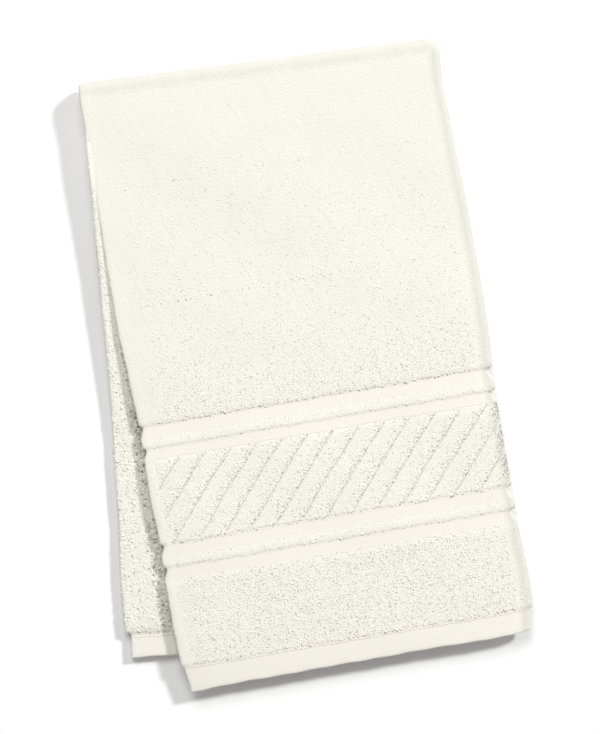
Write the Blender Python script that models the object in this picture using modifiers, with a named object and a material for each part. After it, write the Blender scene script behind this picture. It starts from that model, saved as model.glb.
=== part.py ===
"""A cream cotton terry hand towel, folded in half lengthwise and then in half crosswise.

The towel is one sheet. It is laid out flat with its real thickness in each section, then bent
round the lengthwise fold, then round a crosswise fold that runs slightly askew, so that the half
underneath shows along the open side. +Y runs along the upper half, from its hem to the crosswise
fold, +X points to the lengthwise fold, and the towel rests on Z = 0. All sizes are in metres.
"""
import math
from typing import NamedTuple

import bpy

# The sheet as it is cut
CUT_WIDTH = 0.4064
CUT_LENGTH = 0.685
PILE_THICKNESS = 0.0038
HEM_THICKNESS = 0.0024
GROOVE_THICKNESS = 0.0014
LAYER_GAP = 0.0005
BORDER_END = 0.1545
BACK_HEM = 0.0140

# The two folds: the second one's crease runs askew, and the layers press flatter away from it
FOLD_OFF_CENTRE = 0.0024
CREASE_REACH = 0.3469
CREASE_ANGLE = math.radians(-2.41)
CREASE_LOFT = 0.06
LOFT_LENGTH = 0.070
PRESS = 0.20
PRESS_LENGTH = 0.120
CORNER_RADIUS = 0.004
CORNER_WIDTH = 0.020

# The upper half hangs out past the half underneath: most at the open corner of its hem
HEM_SAG = 0.0008
HEM_SAG_SPAN = 0.0215
SIDE_SAG = 0.0008
SIDE_SAG_SPAN = 0.029
SAG_POWER = 1.7

# How finely the sheet is divided
SHOULDER = 0.0012
FLAT_STEPS = 5
BEND_STEPS = 6
FIELD_STEPS = 8
CREASE_STEPS = 8
EDGE_INSETS = (0.0, 0.0012, 0.0040)
EDGE_FULLNESS = (0.50, 0.86, 1.0)

TERRY_COLOUR = (0.93, 0.91, 0.84, 1.0)
TERRY_ROUGHNESS = 0.95

# Sizes that follow from those above
LAYER_PITCH = PILE_THICKNESS + LAYER_GAP
SIDE_RADIUS = LAYER_PITCH / 2
SIDE_ARC = SIDE_RADIUS * math.pi / 2
SIDE_REACH = SIDE_RADIUS + PILE_THICKNESS / 2
OUTER_WIDTH = CUT_WIDTH / 2 + FOLD_OFF_CENTRE
INNER_WIDTH = CUT_WIDTH / 2 - FOLD_OFF_CENTRE
FOLDED_WIDTH = OUTER_WIDTH + SIDE_REACH - SIDE_ARC
CREASE_RADIUS = LAYER_PITCH
CREASE_ARC = CREASE_RADIUS * math.pi
OUTER_CREASE = CREASE_REACH * math.cos(CREASE_ANGLE)
BEND_START = OUTER_CREASE - CREASE_RADIUS - SIDE_REACH
BEND_END = BEND_START + CREASE_ARC
FIELD_START = BORDER_END + SHOULDER / 2
FIELD_END = CUT_LENGTH - BACK_HEM - SHOULDER / 2
MIDDLE_HEIGHT = CREASE_RADIUS + SIDE_REACH


class Section(NamedTuple):
    """One woven section across the towel, up to a distance from the front edge."""

    name: str
    end: float
    thickness: float


SECTIONS = (
    Section("front hem", 0.0150, HEM_THICKNESS),
    Section("lower pile", 0.0650, PILE_THICKNESS),
    Section("groove", 0.0725, GROOVE_THICKNESS),
    Section("narrow rib", 0.0785, PILE_THICKNESS),
    Section("groove", 0.0860, GROOVE_THICKNESS),
    Section("ribbed band", 0.1350, PILE_THICKNESS),
    Section("groove", 0.1415, GROOVE_THICKNESS),
    Section("narrow rib", 0.1475, PILE_THICKNESS),
    Section("groove", BORDER_END, GROOVE_THICKNESS),
    Section("field", CUT_LENGTH - BACK_HEM, PILE_THICKNESS),
    Section("back hem", CUT_LENGTH, HEM_THICKNESS),
)


class Side(NamedTuple):
    """How far the sides lie outside their straight lines, at a distance from the front edge."""

    distance: float
    fold: float
    outer_edge: float
    inner_edge: float


SIDES = (
    Side(0.000, -0.0033, -0.0048, 0.0000),
    Side(0.014, -0.0021, -0.0033, 0.0000),
    Side(0.017, -0.0002, -0.0010, 0.0000),
    Side(0.040, 0.0000, -0.0003, 0.0000),
    Side(0.060, -0.0008, -0.0005, 0.0000),
    Side(0.090, -0.0006, -0.0009, 0.0000),
    Side(0.110, -0.0009, 0.0000, 0.0000),
    Side(0.155, -0.0004, -0.0004, 0.0000),
    Side(0.181, 0.0010, 0.0008, 0.0008),
    Side(0.215, 0.0014, 0.0022, 0.0016),
    Side(0.240, 0.0010, 0.0026, 0.0018),
    Side(0.284, -0.0002, 0.0022, 0.0014),
    Side(0.320, -0.0013, 0.0018, 0.0012),
    Side(0.343, 0.0000, 0.0018, 0.0012),
    Side(0.380, 0.0000, 0.0002, 0.0045),
    Side(0.440, 0.0000, -0.0005, 0.0038),
    Side(0.525, 0.0000, -0.0009, 0.0034),
    Side(0.602, 0.0000, 0.0004, 0.0047),
    Side(0.640, 0.0000, 0.0022, 0.0065),
    Side(0.669, 0.0000, 0.0024, 0.0067),
    Side(0.672, 0.0000, -0.0010, 0.0034),
    Side(0.685, 0.0000, -0.0004, 0.0040),
)


def eased(fraction: float) -> float:
    """Turns 0 to 1 into a soft step."""
    fraction = min(max(fraction, 0.0), 1.0)
    return fraction * fraction * (3 - 2 * fraction)


def side_at(distance: float) -> Side:
    """Reads the sides' table at a distance from the front edge, easing from row to row."""
    for low, high in zip(SIDES, SIDES[1:]):
        if distance <= high.distance:
            share = eased((distance - low.distance) / (high.distance - low.distance))
            return Side(*(a + (b - a) * share for a, b in zip(low, high)))
    return SIDES[-1]


def thickness_at(distance: float) -> float:
    """Thickness of the sheet at a distance from the front edge, with sloped shoulders."""
    thickness = SECTIONS[0].thickness
    for section, following in zip(SECTIONS, SECTIONS[1:]):
        share = (distance - section.end) / SHOULDER + 0.5
        share = min(max(share, 0.0), 1.0)
        thickness += (following.thickness - section.thickness) * share
    return thickness


def edge_fullness(inset: float) -> float:
    """Share of its thickness that the sheet has at a distance in from a cut edge."""
    for low, high, start, end in zip(EDGE_INSETS, EDGE_INSETS[1:], EDGE_FULLNESS, EDGE_FULLNESS[1:]):
        if inset <= high:
            return start + (end - start) * max(inset - low, 0.0) / (high - low)
    return 1.0


def column_places() -> list[float]:
    """Places across the flat sheet, 0 at the lengthwise fold and below 0 on the outer layer."""
    outer = [inset - OUTER_WIDTH for inset in EDGE_INSETS]
    outer_run = OUTER_WIDTH - EDGE_INSETS[-1] - SIDE_ARC
    outer += [outer[-1] + outer_run * step / FLAT_STEPS for step in range(1, FLAT_STEPS + 1)]
    bend = [SIDE_ARC * (2 * step / BEND_STEPS - 1) for step in range(1, BEND_STEPS)]
    inner = [INNER_WIDTH - inset for inset in reversed(EDGE_INSETS)]
    inner_run = INNER_WIDTH - EDGE_INSETS[-1] - SIDE_ARC
    inner_flat = [SIDE_ARC + inner_run * step / FLAT_STEPS for step in range(FLAT_STEPS)]
    return outer + bend + inner_flat + inner


def row_places() -> list[float]:
    """Distances from the front edge at which the sheet is divided."""
    rows = list(EDGE_INSETS[:2])
    for section in SECTIONS[:-1]:
        rows += [section.end - SHOULDER / 2, section.end + SHOULDER / 2]
    front_run = BEND_START - FIELD_START
    back_run = FIELD_END - BEND_END
    rows += [FIELD_START + front_run * step / FIELD_STEPS for step in range(1, FIELD_STEPS)]
    rows += [BEND_START + CREASE_ARC * step / CREASE_STEPS for step in range(CREASE_STEPS + 1)]
    rows += [BEND_END + back_run * step / FIELD_STEPS for step in range(1, FIELD_STEPS)]
    rows += [CUT_LENGTH - inset for inset in EDGE_INSETS[:2]]
    return sorted(rows)


def fold_lengthwise(across: float, offset: float) -> tuple[float, float]:
    """Bends the sheet round the lengthwise fold.

    Args:
        across: place across the flat sheet, 0 at the fold's middle, below 0 on the outer layer.
        offset: height above the sheet's middle, on the outer face.

    Returns:
        The place across, 0 at the fold's outermost line, and the height above the middle of the
        two layers.
    """
    if across < -SIDE_ARC:
        return across + SIDE_ARC - SIDE_REACH, SIDE_RADIUS + offset
    if across > SIDE_ARC:
        return SIDE_ARC - across - SIDE_REACH, -SIDE_RADIUS - offset
    angle = across / SIDE_RADIUS
    radius = SIDE_RADIUS + offset
    return radius * math.cos(angle) - SIDE_REACH, -radius * math.sin(angle)


def shape_side(x: float, outer: bool, distance: float) -> float:
    """Moves a place across so that the towel's sides bow in and out."""
    side = side_at(distance)
    width = (OUTER_WIDTH if outer else INNER_WIDTH) + SIDE_REACH - SIDE_ARC
    share = min(max(-x / width, 0.0), 1.0)
    edge = side.outer_edge if outer else side.inner_edge
    return x + side.fold * (1 - share) - edge * share


def fold_crosswise(x: float, y: float, height: float) -> tuple[float, float, float]:
    """Bends the doubled strip round the skewed crosswise fold.

    Args:
        x: place across the strip.
        y: distance from the front edge.
        height: height above the strip's middle, on the outer face.

    Returns:
        The place along the crease, the place square to the crease and the height off the surface.
    """
    along = x * math.cos(CREASE_ANGLE) + y * math.sin(CREASE_ANGLE)
    square = y * math.cos(CREASE_ANGLE) - x * math.sin(CREASE_ANGLE)
    radius = CREASE_RADIUS + height
    past = square - BEND_START
    if past <= 0:
        return along, square, MIDDLE_HEIGHT + radius
    if past >= CREASE_ARC:
        return along, BEND_START + CREASE_ARC - past, MIDDLE_HEIGHT - radius
    angle = past / CREASE_RADIUS
    return along, BEND_START + radius * math.sin(angle), MIDDLE_HEIGHT + radius * math.cos(angle)


def corner_draw(square: float, side_distance: float) -> float:
    """How far a side is drawn in to round the towel's corner at the crosswise fold."""
    inside = CORNER_RADIUS - (OUTER_CREASE - square)
    if inside <= 0 or side_distance >= CORNER_WIDTH:
        return 0.0
    inside = min(inside, CORNER_RADIUS)
    depth = CORNER_RADIUS - math.sqrt(CORNER_RADIUS ** 2 - inside ** 2)
    return depth * (1 - side_distance / CORNER_WIDTH) ** 2


def overhang_sag(along: float, square: float) -> float:
    """How far the upper half sinks where it reaches past the half underneath."""
    unfolded = BEND_START + BEND_END - square
    x_below = along * math.cos(CREASE_ANGLE) - unfolded * math.sin(CREASE_ANGLE)
    y_below = along * math.sin(CREASE_ANGLE) + unfolded * math.cos(CREASE_ANGLE)
    past_hem = max(y_below - CUT_LENGTH, 0.0)
    past_fold = max(x_below, 0.0)
    hem_part = HEM_SAG * (past_hem / HEM_SAG_SPAN) ** SAG_POWER
    return hem_part + SIDE_SAG * (past_fold / SIDE_SAG_SPAN) ** SAG_POWER


def folded_point(across: float, distance: float, face: int) -> tuple[float, float, float]:
    """Finds where a point of the flat sheet lies in the folded towel.

    Args:
        across: place across the flat sheet, 0 at the lengthwise fold.
        distance: distance from the front edge.
        face: 1 on the face that shows, -1 on the other.

    Returns:
        The point, with X = 0 at the lengthwise fold and Y = 0 at the front edge.
    """
    inset = min(across + OUTER_WIDTH, INNER_WIDTH - across, distance, CUT_LENGTH - distance)
    offset = face * thickness_at(distance) / 2 * edge_fullness(inset)
    x, height = fold_lengthwise(across, offset)
    x = shape_side(x, across < 0, distance)
    along, square, z = fold_crosswise(x, distance, height)
    along += corner_draw(square, FOLDED_WIDTH + x) - corner_draw(square, -x)
    from_crease = min((OUTER_CREASE - square) / LOFT_LENGTH, 1.0)
    pressed = 1 - PRESS * eased((OUTER_CREASE - square) / PRESS_LENGTH)
    upper = z > MIDDLE_HEIGHT
    z *= pressed + CREASE_LOFT * (1 - from_crease) ** 2
    if upper:
        z -= overhang_sag(along, square)
    plan_x = along * math.cos(CREASE_ANGLE) - square * math.sin(CREASE_ANGLE)
    plan_y = along * math.sin(CREASE_ANGLE) + square * math.cos(CREASE_ANGLE)
    return plan_x, plan_y, z


def lay_out_flat() -> bpy.types.Object:
    """Makes the flat sheet with its thickness, its rows turned to run along the crease near it."""
    columns = column_places()
    rows = row_places()
    bpy.ops.mesh.primitive_grid_add(
        x_subdivisions=len(columns) - 1, y_subdivisions=len(rows) - 1, size=2)
    sheet = bpy.context.object
    for vertex in sheet.data.vertices:
        across = columns[round((vertex.co.x + 1) / 2 * (len(columns) - 1))]
        distance = rows[round((vertex.co.y + 1) / 2 * (len(rows) - 1))]
        if distance < BEND_START:
            turned = (distance - FIELD_START) / (BEND_START - FIELD_START)
        else:
            turned = (FIELD_END - distance) / (FIELD_END - BEND_END)
        turned = min(max(turned, 0.0), 1.0)
        x = fold_lengthwise(across, 0.0)[0]
        distance += x * math.tan(CREASE_ANGLE) * turned
        vertex.co = (across, distance, 0.0)
    thickness = sheet.modifiers.new("Thickness", "SOLIDIFY")
    thickness.thickness = PILE_THICKNESS
    thickness.offset = 0.0
    bpy.ops.object.modifier_apply(modifier=thickness.name)
    return sheet


def fold_towel(sheet: bpy.types.Object) -> None:
    """Folds the flat sheet twice and sets it down with the middle of its footprint at the origin."""
    points = []
    for vertex in sheet.data.vertices:
        face = 1 if vertex.co.z > 0 else -1
        points.append(folded_point(vertex.co.x, vertex.co.y, face))
    middle_x = (min(p[0] for p in points) + max(p[0] for p in points)) / 2
    middle_y = (min(p[1] for p in points) + max(p[1] for p in points)) / 2
    for vertex, point in zip(sheet.data.vertices, points):
        vertex.co = (point[0] - middle_x, point[1] - middle_y, point[2])
    sheet.data.update()


def terry_material() -> bpy.types.Material:
    """Cream cotton, matt all over."""
    material = bpy.data.materials.new("cream_terry")
    material.use_nodes = True
    shader = material.node_tree.nodes["Principled BSDF"]
    shader.inputs["Base Color"].default_value = TERRY_COLOUR
    shader.inputs["Roughness"].default_value = TERRY_ROUGHNESS
    shader.inputs["Metallic"].default_value = 0.0
    return material


def build_hand_towel() -> None:
    """Clears the scene's objects and builds the folded towel in its own collection."""
    for leftover in list(bpy.data.objects):
        bpy.data.objects.remove(leftover, do_unlink=True)
    collection = bpy.data.collections.new("hand_towel")
    bpy.context.scene.collection.children.link(collection)
    towel = lay_out_flat()
    towel.name = "towel"
    towel.data.name = "towel"
    fold_towel(towel)
    towel.data.materials.append(terry_material())
    towel.data.shade_smooth()
    for holder in list(towel.users_collection):
        holder.objects.unlink(towel)
    collection.objects.link(towel)


if __name__ == "__main__":
    build_hand_towel()
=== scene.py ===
"""Looks of a cream cotton terry hand towel, folded in half lengthwise and then crosswise.

The towel is one sheet of cloth. Its woven sections, its ribbed border and the loops of its pile
are laid out on the flat sheet, in metres, and every point then goes through the same two folds as
the solid that the frame holds. The sheet's ground and the dense foot of its pile are one mesh, and
the loops of the pile and the hems' stitches stand on it as meshes of their own.
"""
import logging
import math
from dataclasses import dataclass
from enum import Enum
from functools import cached_property

import bpy
import numpy as np
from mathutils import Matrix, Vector


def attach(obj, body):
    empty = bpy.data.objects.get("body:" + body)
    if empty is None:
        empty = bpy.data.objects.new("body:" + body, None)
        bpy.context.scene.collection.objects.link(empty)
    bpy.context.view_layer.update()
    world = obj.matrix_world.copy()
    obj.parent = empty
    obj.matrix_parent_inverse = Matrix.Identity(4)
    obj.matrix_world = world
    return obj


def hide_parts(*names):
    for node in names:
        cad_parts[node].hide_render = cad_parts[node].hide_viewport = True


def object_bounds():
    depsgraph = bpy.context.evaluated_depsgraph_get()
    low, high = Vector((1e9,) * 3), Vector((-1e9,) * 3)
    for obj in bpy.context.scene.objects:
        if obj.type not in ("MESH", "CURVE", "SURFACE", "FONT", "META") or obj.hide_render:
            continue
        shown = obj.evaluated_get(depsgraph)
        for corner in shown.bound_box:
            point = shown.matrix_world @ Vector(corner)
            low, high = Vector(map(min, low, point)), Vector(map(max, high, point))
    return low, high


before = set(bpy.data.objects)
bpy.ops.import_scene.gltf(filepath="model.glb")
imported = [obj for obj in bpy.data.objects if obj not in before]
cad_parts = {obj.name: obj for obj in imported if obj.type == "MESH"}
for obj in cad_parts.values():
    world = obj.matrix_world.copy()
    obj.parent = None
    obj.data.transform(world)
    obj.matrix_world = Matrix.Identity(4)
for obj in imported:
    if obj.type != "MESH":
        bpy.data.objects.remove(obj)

CAD_LOW, CAD_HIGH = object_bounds()
BODY = "root"
NODE = "towel"
MM = 0.001
MOST_TONE = 2.0

log = logging.getLogger("hand_towel")


class Weave(Enum):
    """How a section of the towel is woven."""

    HEM = "hem"
    GROOVE = "groove"
    PILE = "pile"


def eased(fraction: np.ndarray) -> np.ndarray:
    """Turns 0 to 1 into a soft step."""
    held = np.clip(fraction, 0.0, 1.0)
    return held * held * (3 - 2 * held)


def faded(place: np.ndarray, end: float, length: float) -> np.ndarray:
    """1 well before an end and 0 past it, with a soft step of that length just before it.

    Args:
        place: where it is read.
        end: where it has faded out.
        length: how long the step is. A field named as a fade that is a pair holds end and length.

    Returns:
        The share left at each place.
    """
    return eased((end - place) / length)


def waves(
    u: np.ndarray, v: np.ndarray | float, lengths: tuple[float, ...], seed: int
) -> np.ndarray:
    """Sums soft waves that cross each other at seeded angles.

    Args:
        u: first coordinate, in metres.
        v: second coordinate, in metres, or 0 for waves along a line.
        lengths: one wavelength for each wave, in millimetres.
        seed: sets the angles and phases.

    Returns:
        A height from about -1 to 1 at each place.
    """
    random = np.random.default_rng(seed)
    total = np.zeros(np.broadcast(u, v).shape)
    for length in lengths:
        angle, phase = random.uniform(0, 2 * math.pi, 2)
        along = u * math.cos(angle) + v * math.sin(angle)
        total += np.sin(along * 2 * math.pi / (length * MM) + phase)
    return total / max(len(lengths), 1)


@dataclass(frozen=True)
class Section:
    """One woven section across the towel, from a start to an end counted from the front edge."""

    name: str
    start: float
    end: float
    weave: Weave


@dataclass(frozen=True)
class Cut:
    """The sheet as it is cut and woven, laid out flat.

    A place on it is across, 0 at the lengthwise fold and below 0 on the outer layer, and distance,
    from the front edge. offset is the height above the sheet's middle.
    """

    width: float = 406.4 * MM
    length: float = 685.0 * MM
    off_centre: float = 2.4 * MM
    hem: float = 1.2 * MM
    ground: float = 1.05 * MM
    foot: float = 1.42 * MM
    pressed_foot: float = 1.65 * MM
    full: float = 1.9 * MM
    shoulder: float = 1.0 * MM
    slope: float = 3.4 * MM
    back_hem: float = 14.0 * MM
    border_end: float = 154.5 * MM
    side_hem: float = 5.0 * MM
    side_half: float = 1.75 * MM
    side_raise: float = 0.3 * MM
    side_soft: float = 6.0 * MM
    notch_rise: float = 0.8
    notch_fade: tuple[float, float] = (1.12, 0.2)
    press_start: float = 0.45
    press_growth: float = 0.55
    press_length: float = 70.0 * MM

    @property
    def outer_width(self) -> float:
        """Width of the outer layer, from its selvage to the lengthwise fold."""
        return self.width / 2 + self.off_centre

    @property
    def inner_width(self) -> float:
        """Width of the inner layer, from the lengthwise fold to its selvage."""
        return self.width / 2 - self.off_centre

    @cached_property
    def sections(self) -> tuple[Section, ...]:
        """The woven sections in order from the front edge."""
        ends = (
            ("front_hem", 15.0 * MM, Weave.HEM),
            ("lower_field", 65.0 * MM, Weave.PILE),
            ("groove_1", 72.5 * MM, Weave.GROOVE),
            ("narrow_rib_1", 78.5 * MM, Weave.PILE),
            ("groove_2", 86.0 * MM, Weave.GROOVE),
            ("ribbed_band", 134.5 * MM, Weave.PILE),
            ("groove_3", 141.3 * MM, Weave.GROOVE),
            ("narrow_rib_2", 147.3 * MM, Weave.PILE),
            ("groove_4", self.border_end, Weave.GROOVE),
            ("field", self.length - self.back_hem, Weave.PILE),
            ("back_hem", self.length, Weave.HEM),
        )
        starts = (0.0, *(end for _, end, _ in ends))
        return tuple(
            Section(name, start, end, weave) for start, (name, end, weave) in zip(starts, ends))

    def section(self, name: str) -> Section:
        """The section of that name."""
        return next(section for section in self.sections if section.name == name)

    def share(self, weave: Weave, distance: np.ndarray) -> np.ndarray:
        """How far each distance lies in sections of a weave: 1 inside, 0 outside, soft between."""
        total = np.zeros(np.shape(distance))
        for section in self.sections:
            if section.weave is weave:
                inside = np.minimum(distance - section.start, section.end - distance)
                total += eased(inside / self.shoulder + 0.5)
        return np.clip(total, 0.0, 1.0)

    def notch(self, distance: np.ndarray) -> np.ndarray:
        """How far the sides draw in at each distance: most at the upper end of a groove."""
        total = np.zeros(np.shape(distance))
        for section in self.sections:
            if section.weave is Weave.GROOVE:
                share = (distance - section.start) / (section.end - section.start)
                total += eased(share / self.notch_rise) * faded(share, *self.notch_fade)
        return total

    def inset(self, across: np.ndarray) -> np.ndarray:
        """How far in from the nearest selvage each place lies."""
        return np.minimum(across + self.outer_width, self.inner_width - across)

    def side_share(self, across: np.ndarray) -> np.ndarray:
        """1 on the flat-woven side hems, 0 inside them."""
        inside = (across + self.outer_width - self.side_hem) / self.side_soft + 0.5
        return np.where(across < 0, 1 - eased(inside), 0.0)

    def pressed(self, distance: np.ndarray) -> np.ndarray:
        """How flat the pile lies: not at all below and in the border, then more and more."""
        above = distance - self.border_end
        flat = self.press_start + self.press_growth * eased(above / self.press_length)
        return np.where(above > 0, flat, 0.0)

    def raised(self, distance: np.ndarray) -> np.ndarray:
        """How high the border's and lower field's pile stands: it slopes down at its upper ends."""
        total = np.ones(np.shape(distance))
        for section in self.sections[1:-2]:
            if section.weave is Weave.PILE:
                low, high = section.start - self.shoulder, section.end + self.shoulder
                inside = (distance > low) & (distance < high)
                total = np.where(inside, eased((section.end - distance) / self.slope), total)
        return total

    def half_thickness(self, across: np.ndarray, distance: np.ndarray) -> np.ndarray:
        """Half the sheet's thickness at each place, without the loops of its pile."""
        pile = self.share(Weave.PILE, distance)
        groove = self.share(Weave.GROOVE, distance)
        foot = self.foot + (self.pressed_foot - self.foot) * self.pressed(distance)
        side = self.side_share(across)
        low = self.ground + self.side_raise * side
        raised = low + (foot + (self.side_half - foot) * side - low) * self.raised(distance)
        return self.hem * (1 - pile - groove) + raised * pile + low * groove


@dataclass(frozen=True)
class RibBand:
    """The wide band of pile that narrow grooves part into diagonal ribs."""

    start: float
    end: float
    pitch: float = 14.9 * MM
    slant: float = 41.3
    gap: float = 0.55 * MM
    floor: float = 0.45 * MM
    pillow: float = 0.40 * MM
    clear: float = 0.22 * MM
    clear_spread: float = 0.55 * MM
    # How dark the diagonal grooves' floors and steep sides are painted: painted shade.
    shade: float = 0.55
    first: float = -4.0 * MM
    wander: float = 0.45 * MM
    margin: float = 2.2 * MM
    left_inset: float = 4.6 * MM
    right: float = 6.0 * MM
    floor_inset: float = 1.2 * MM
    floor_end: float = 0.6 * MM
    floor_side: float = 1.0 * MM

    def to_groove(self, across: np.ndarray, distance: np.ndarray) -> np.ndarray:
        """Signed distance of each place to the middle of the nearest diagonal groove."""
        shifted = (across - self.line(distance) + self.drift(across, distance)) / self.pitch
        return (shifted - np.round(shifted)) * self.pitch * math.cos(math.radians(self.slant))

    def line(self, distance: np.ndarray) -> np.ndarray:
        """Where the first groove would cross each distance if it ran straight."""
        return self.first + (distance - self.start) * math.tan(math.radians(self.slant))

    def drift(self, across: np.ndarray, distance: np.ndarray) -> np.ndarray:
        """How far the grooves wander from their straight lines."""
        return self.wander * waves(across, distance, (21, 13, 8, 5), seed=5)

    def across_rib(self, across: np.ndarray, distance: np.ndarray) -> np.ndarray:
        """Share of the way over a rib, from the groove on its left to the one on its right."""
        share = self.to_groove(across, distance) / self.pitch / math.cos(math.radians(self.slant))
        return np.where(share < 0, 1 + share, share)

    def presence(self, distance: np.ndarray) -> np.ndarray:
        """1 where the diagonal grooves run, fading out just short of the flat grooves."""
        return eased(np.minimum(distance - self.start, self.end - distance) / self.margin)

    def sunk(self, across: np.ndarray, distance: np.ndarray) -> np.ndarray:
        """How far each place on a rib has sunk towards the groove beside it."""
        half = self.pitch * math.cos(math.radians(self.slant)) / 2
        away = np.abs(self.to_groove(across, distance)) / half
        return self.pillow * (1 - away) ** 2 * self.presence(distance)


@dataclass(frozen=True)
class SideRow:
    """How far the towel's sides lie outside their straight lines, at one distance.

    The rows of SIDES below give the same four columns in millimetres.
    """

    distance: float
    fold: float
    outer_edge: float
    inner_edge: float


SIDES = tuple(SideRow(*(value * MM for value in row)) for row in (
    (0.0, -3.3, -3.7, 0.0),
    (13.0, -2.1, -2.3, 0.0),
    (16.0, -0.4, -0.4, 0.0),
    (40.0, 0.0, 0.4, 0.0),
    (60.0, -0.8, 0.3, 0.0),
    (90.0, -0.6, -0.1, 0.0),
    (110.0, -0.9, 0.8, 0.0),
    (155.0, -0.4, 0.2, 0.0),
    (181.0, 1.0, 1.6, 0.8),
    (215.0, 1.4, 2.9, 1.6),
    (240.0, 1.0, 3.1, 1.8),
    (284.0, -0.2, 2.6, 1.4),
    (320.0, -1.3, 2.0, 1.2),
    (343.0, 0.0, 1.9, 1.2),
    (380.0, 0.0, 0.3, 4.7),
    (440.0, 0.0, -0.4, 4.0),
    (525.0, 0.0, -0.8, 3.6),
    (602.0, 0.0, 0.5, 4.9),
    (640.0, 0.0, 2.3, 6.7),
    (669.0, 0.0, 2.5, 6.9),
    (672.0, 0.0, -1.0, 3.4),
    (685.0, 0.0, -0.4, 4.0),
))


@dataclass(frozen=True)
class HemRow:
    """How far the front edge is drawn up, at one share of the way from the selvage to the fold."""

    share: float
    rise: float


HEM_LINE = tuple(HemRow(share, rise * MM) for share, rise in (
    (0.00, -0.5), (0.10, 0.1), (0.19, 0.7), (0.44, 0.9), (0.65, 1.4), (0.80, 1.0),
    (0.93, 1.3), (1.00, 2.9),
))


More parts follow.
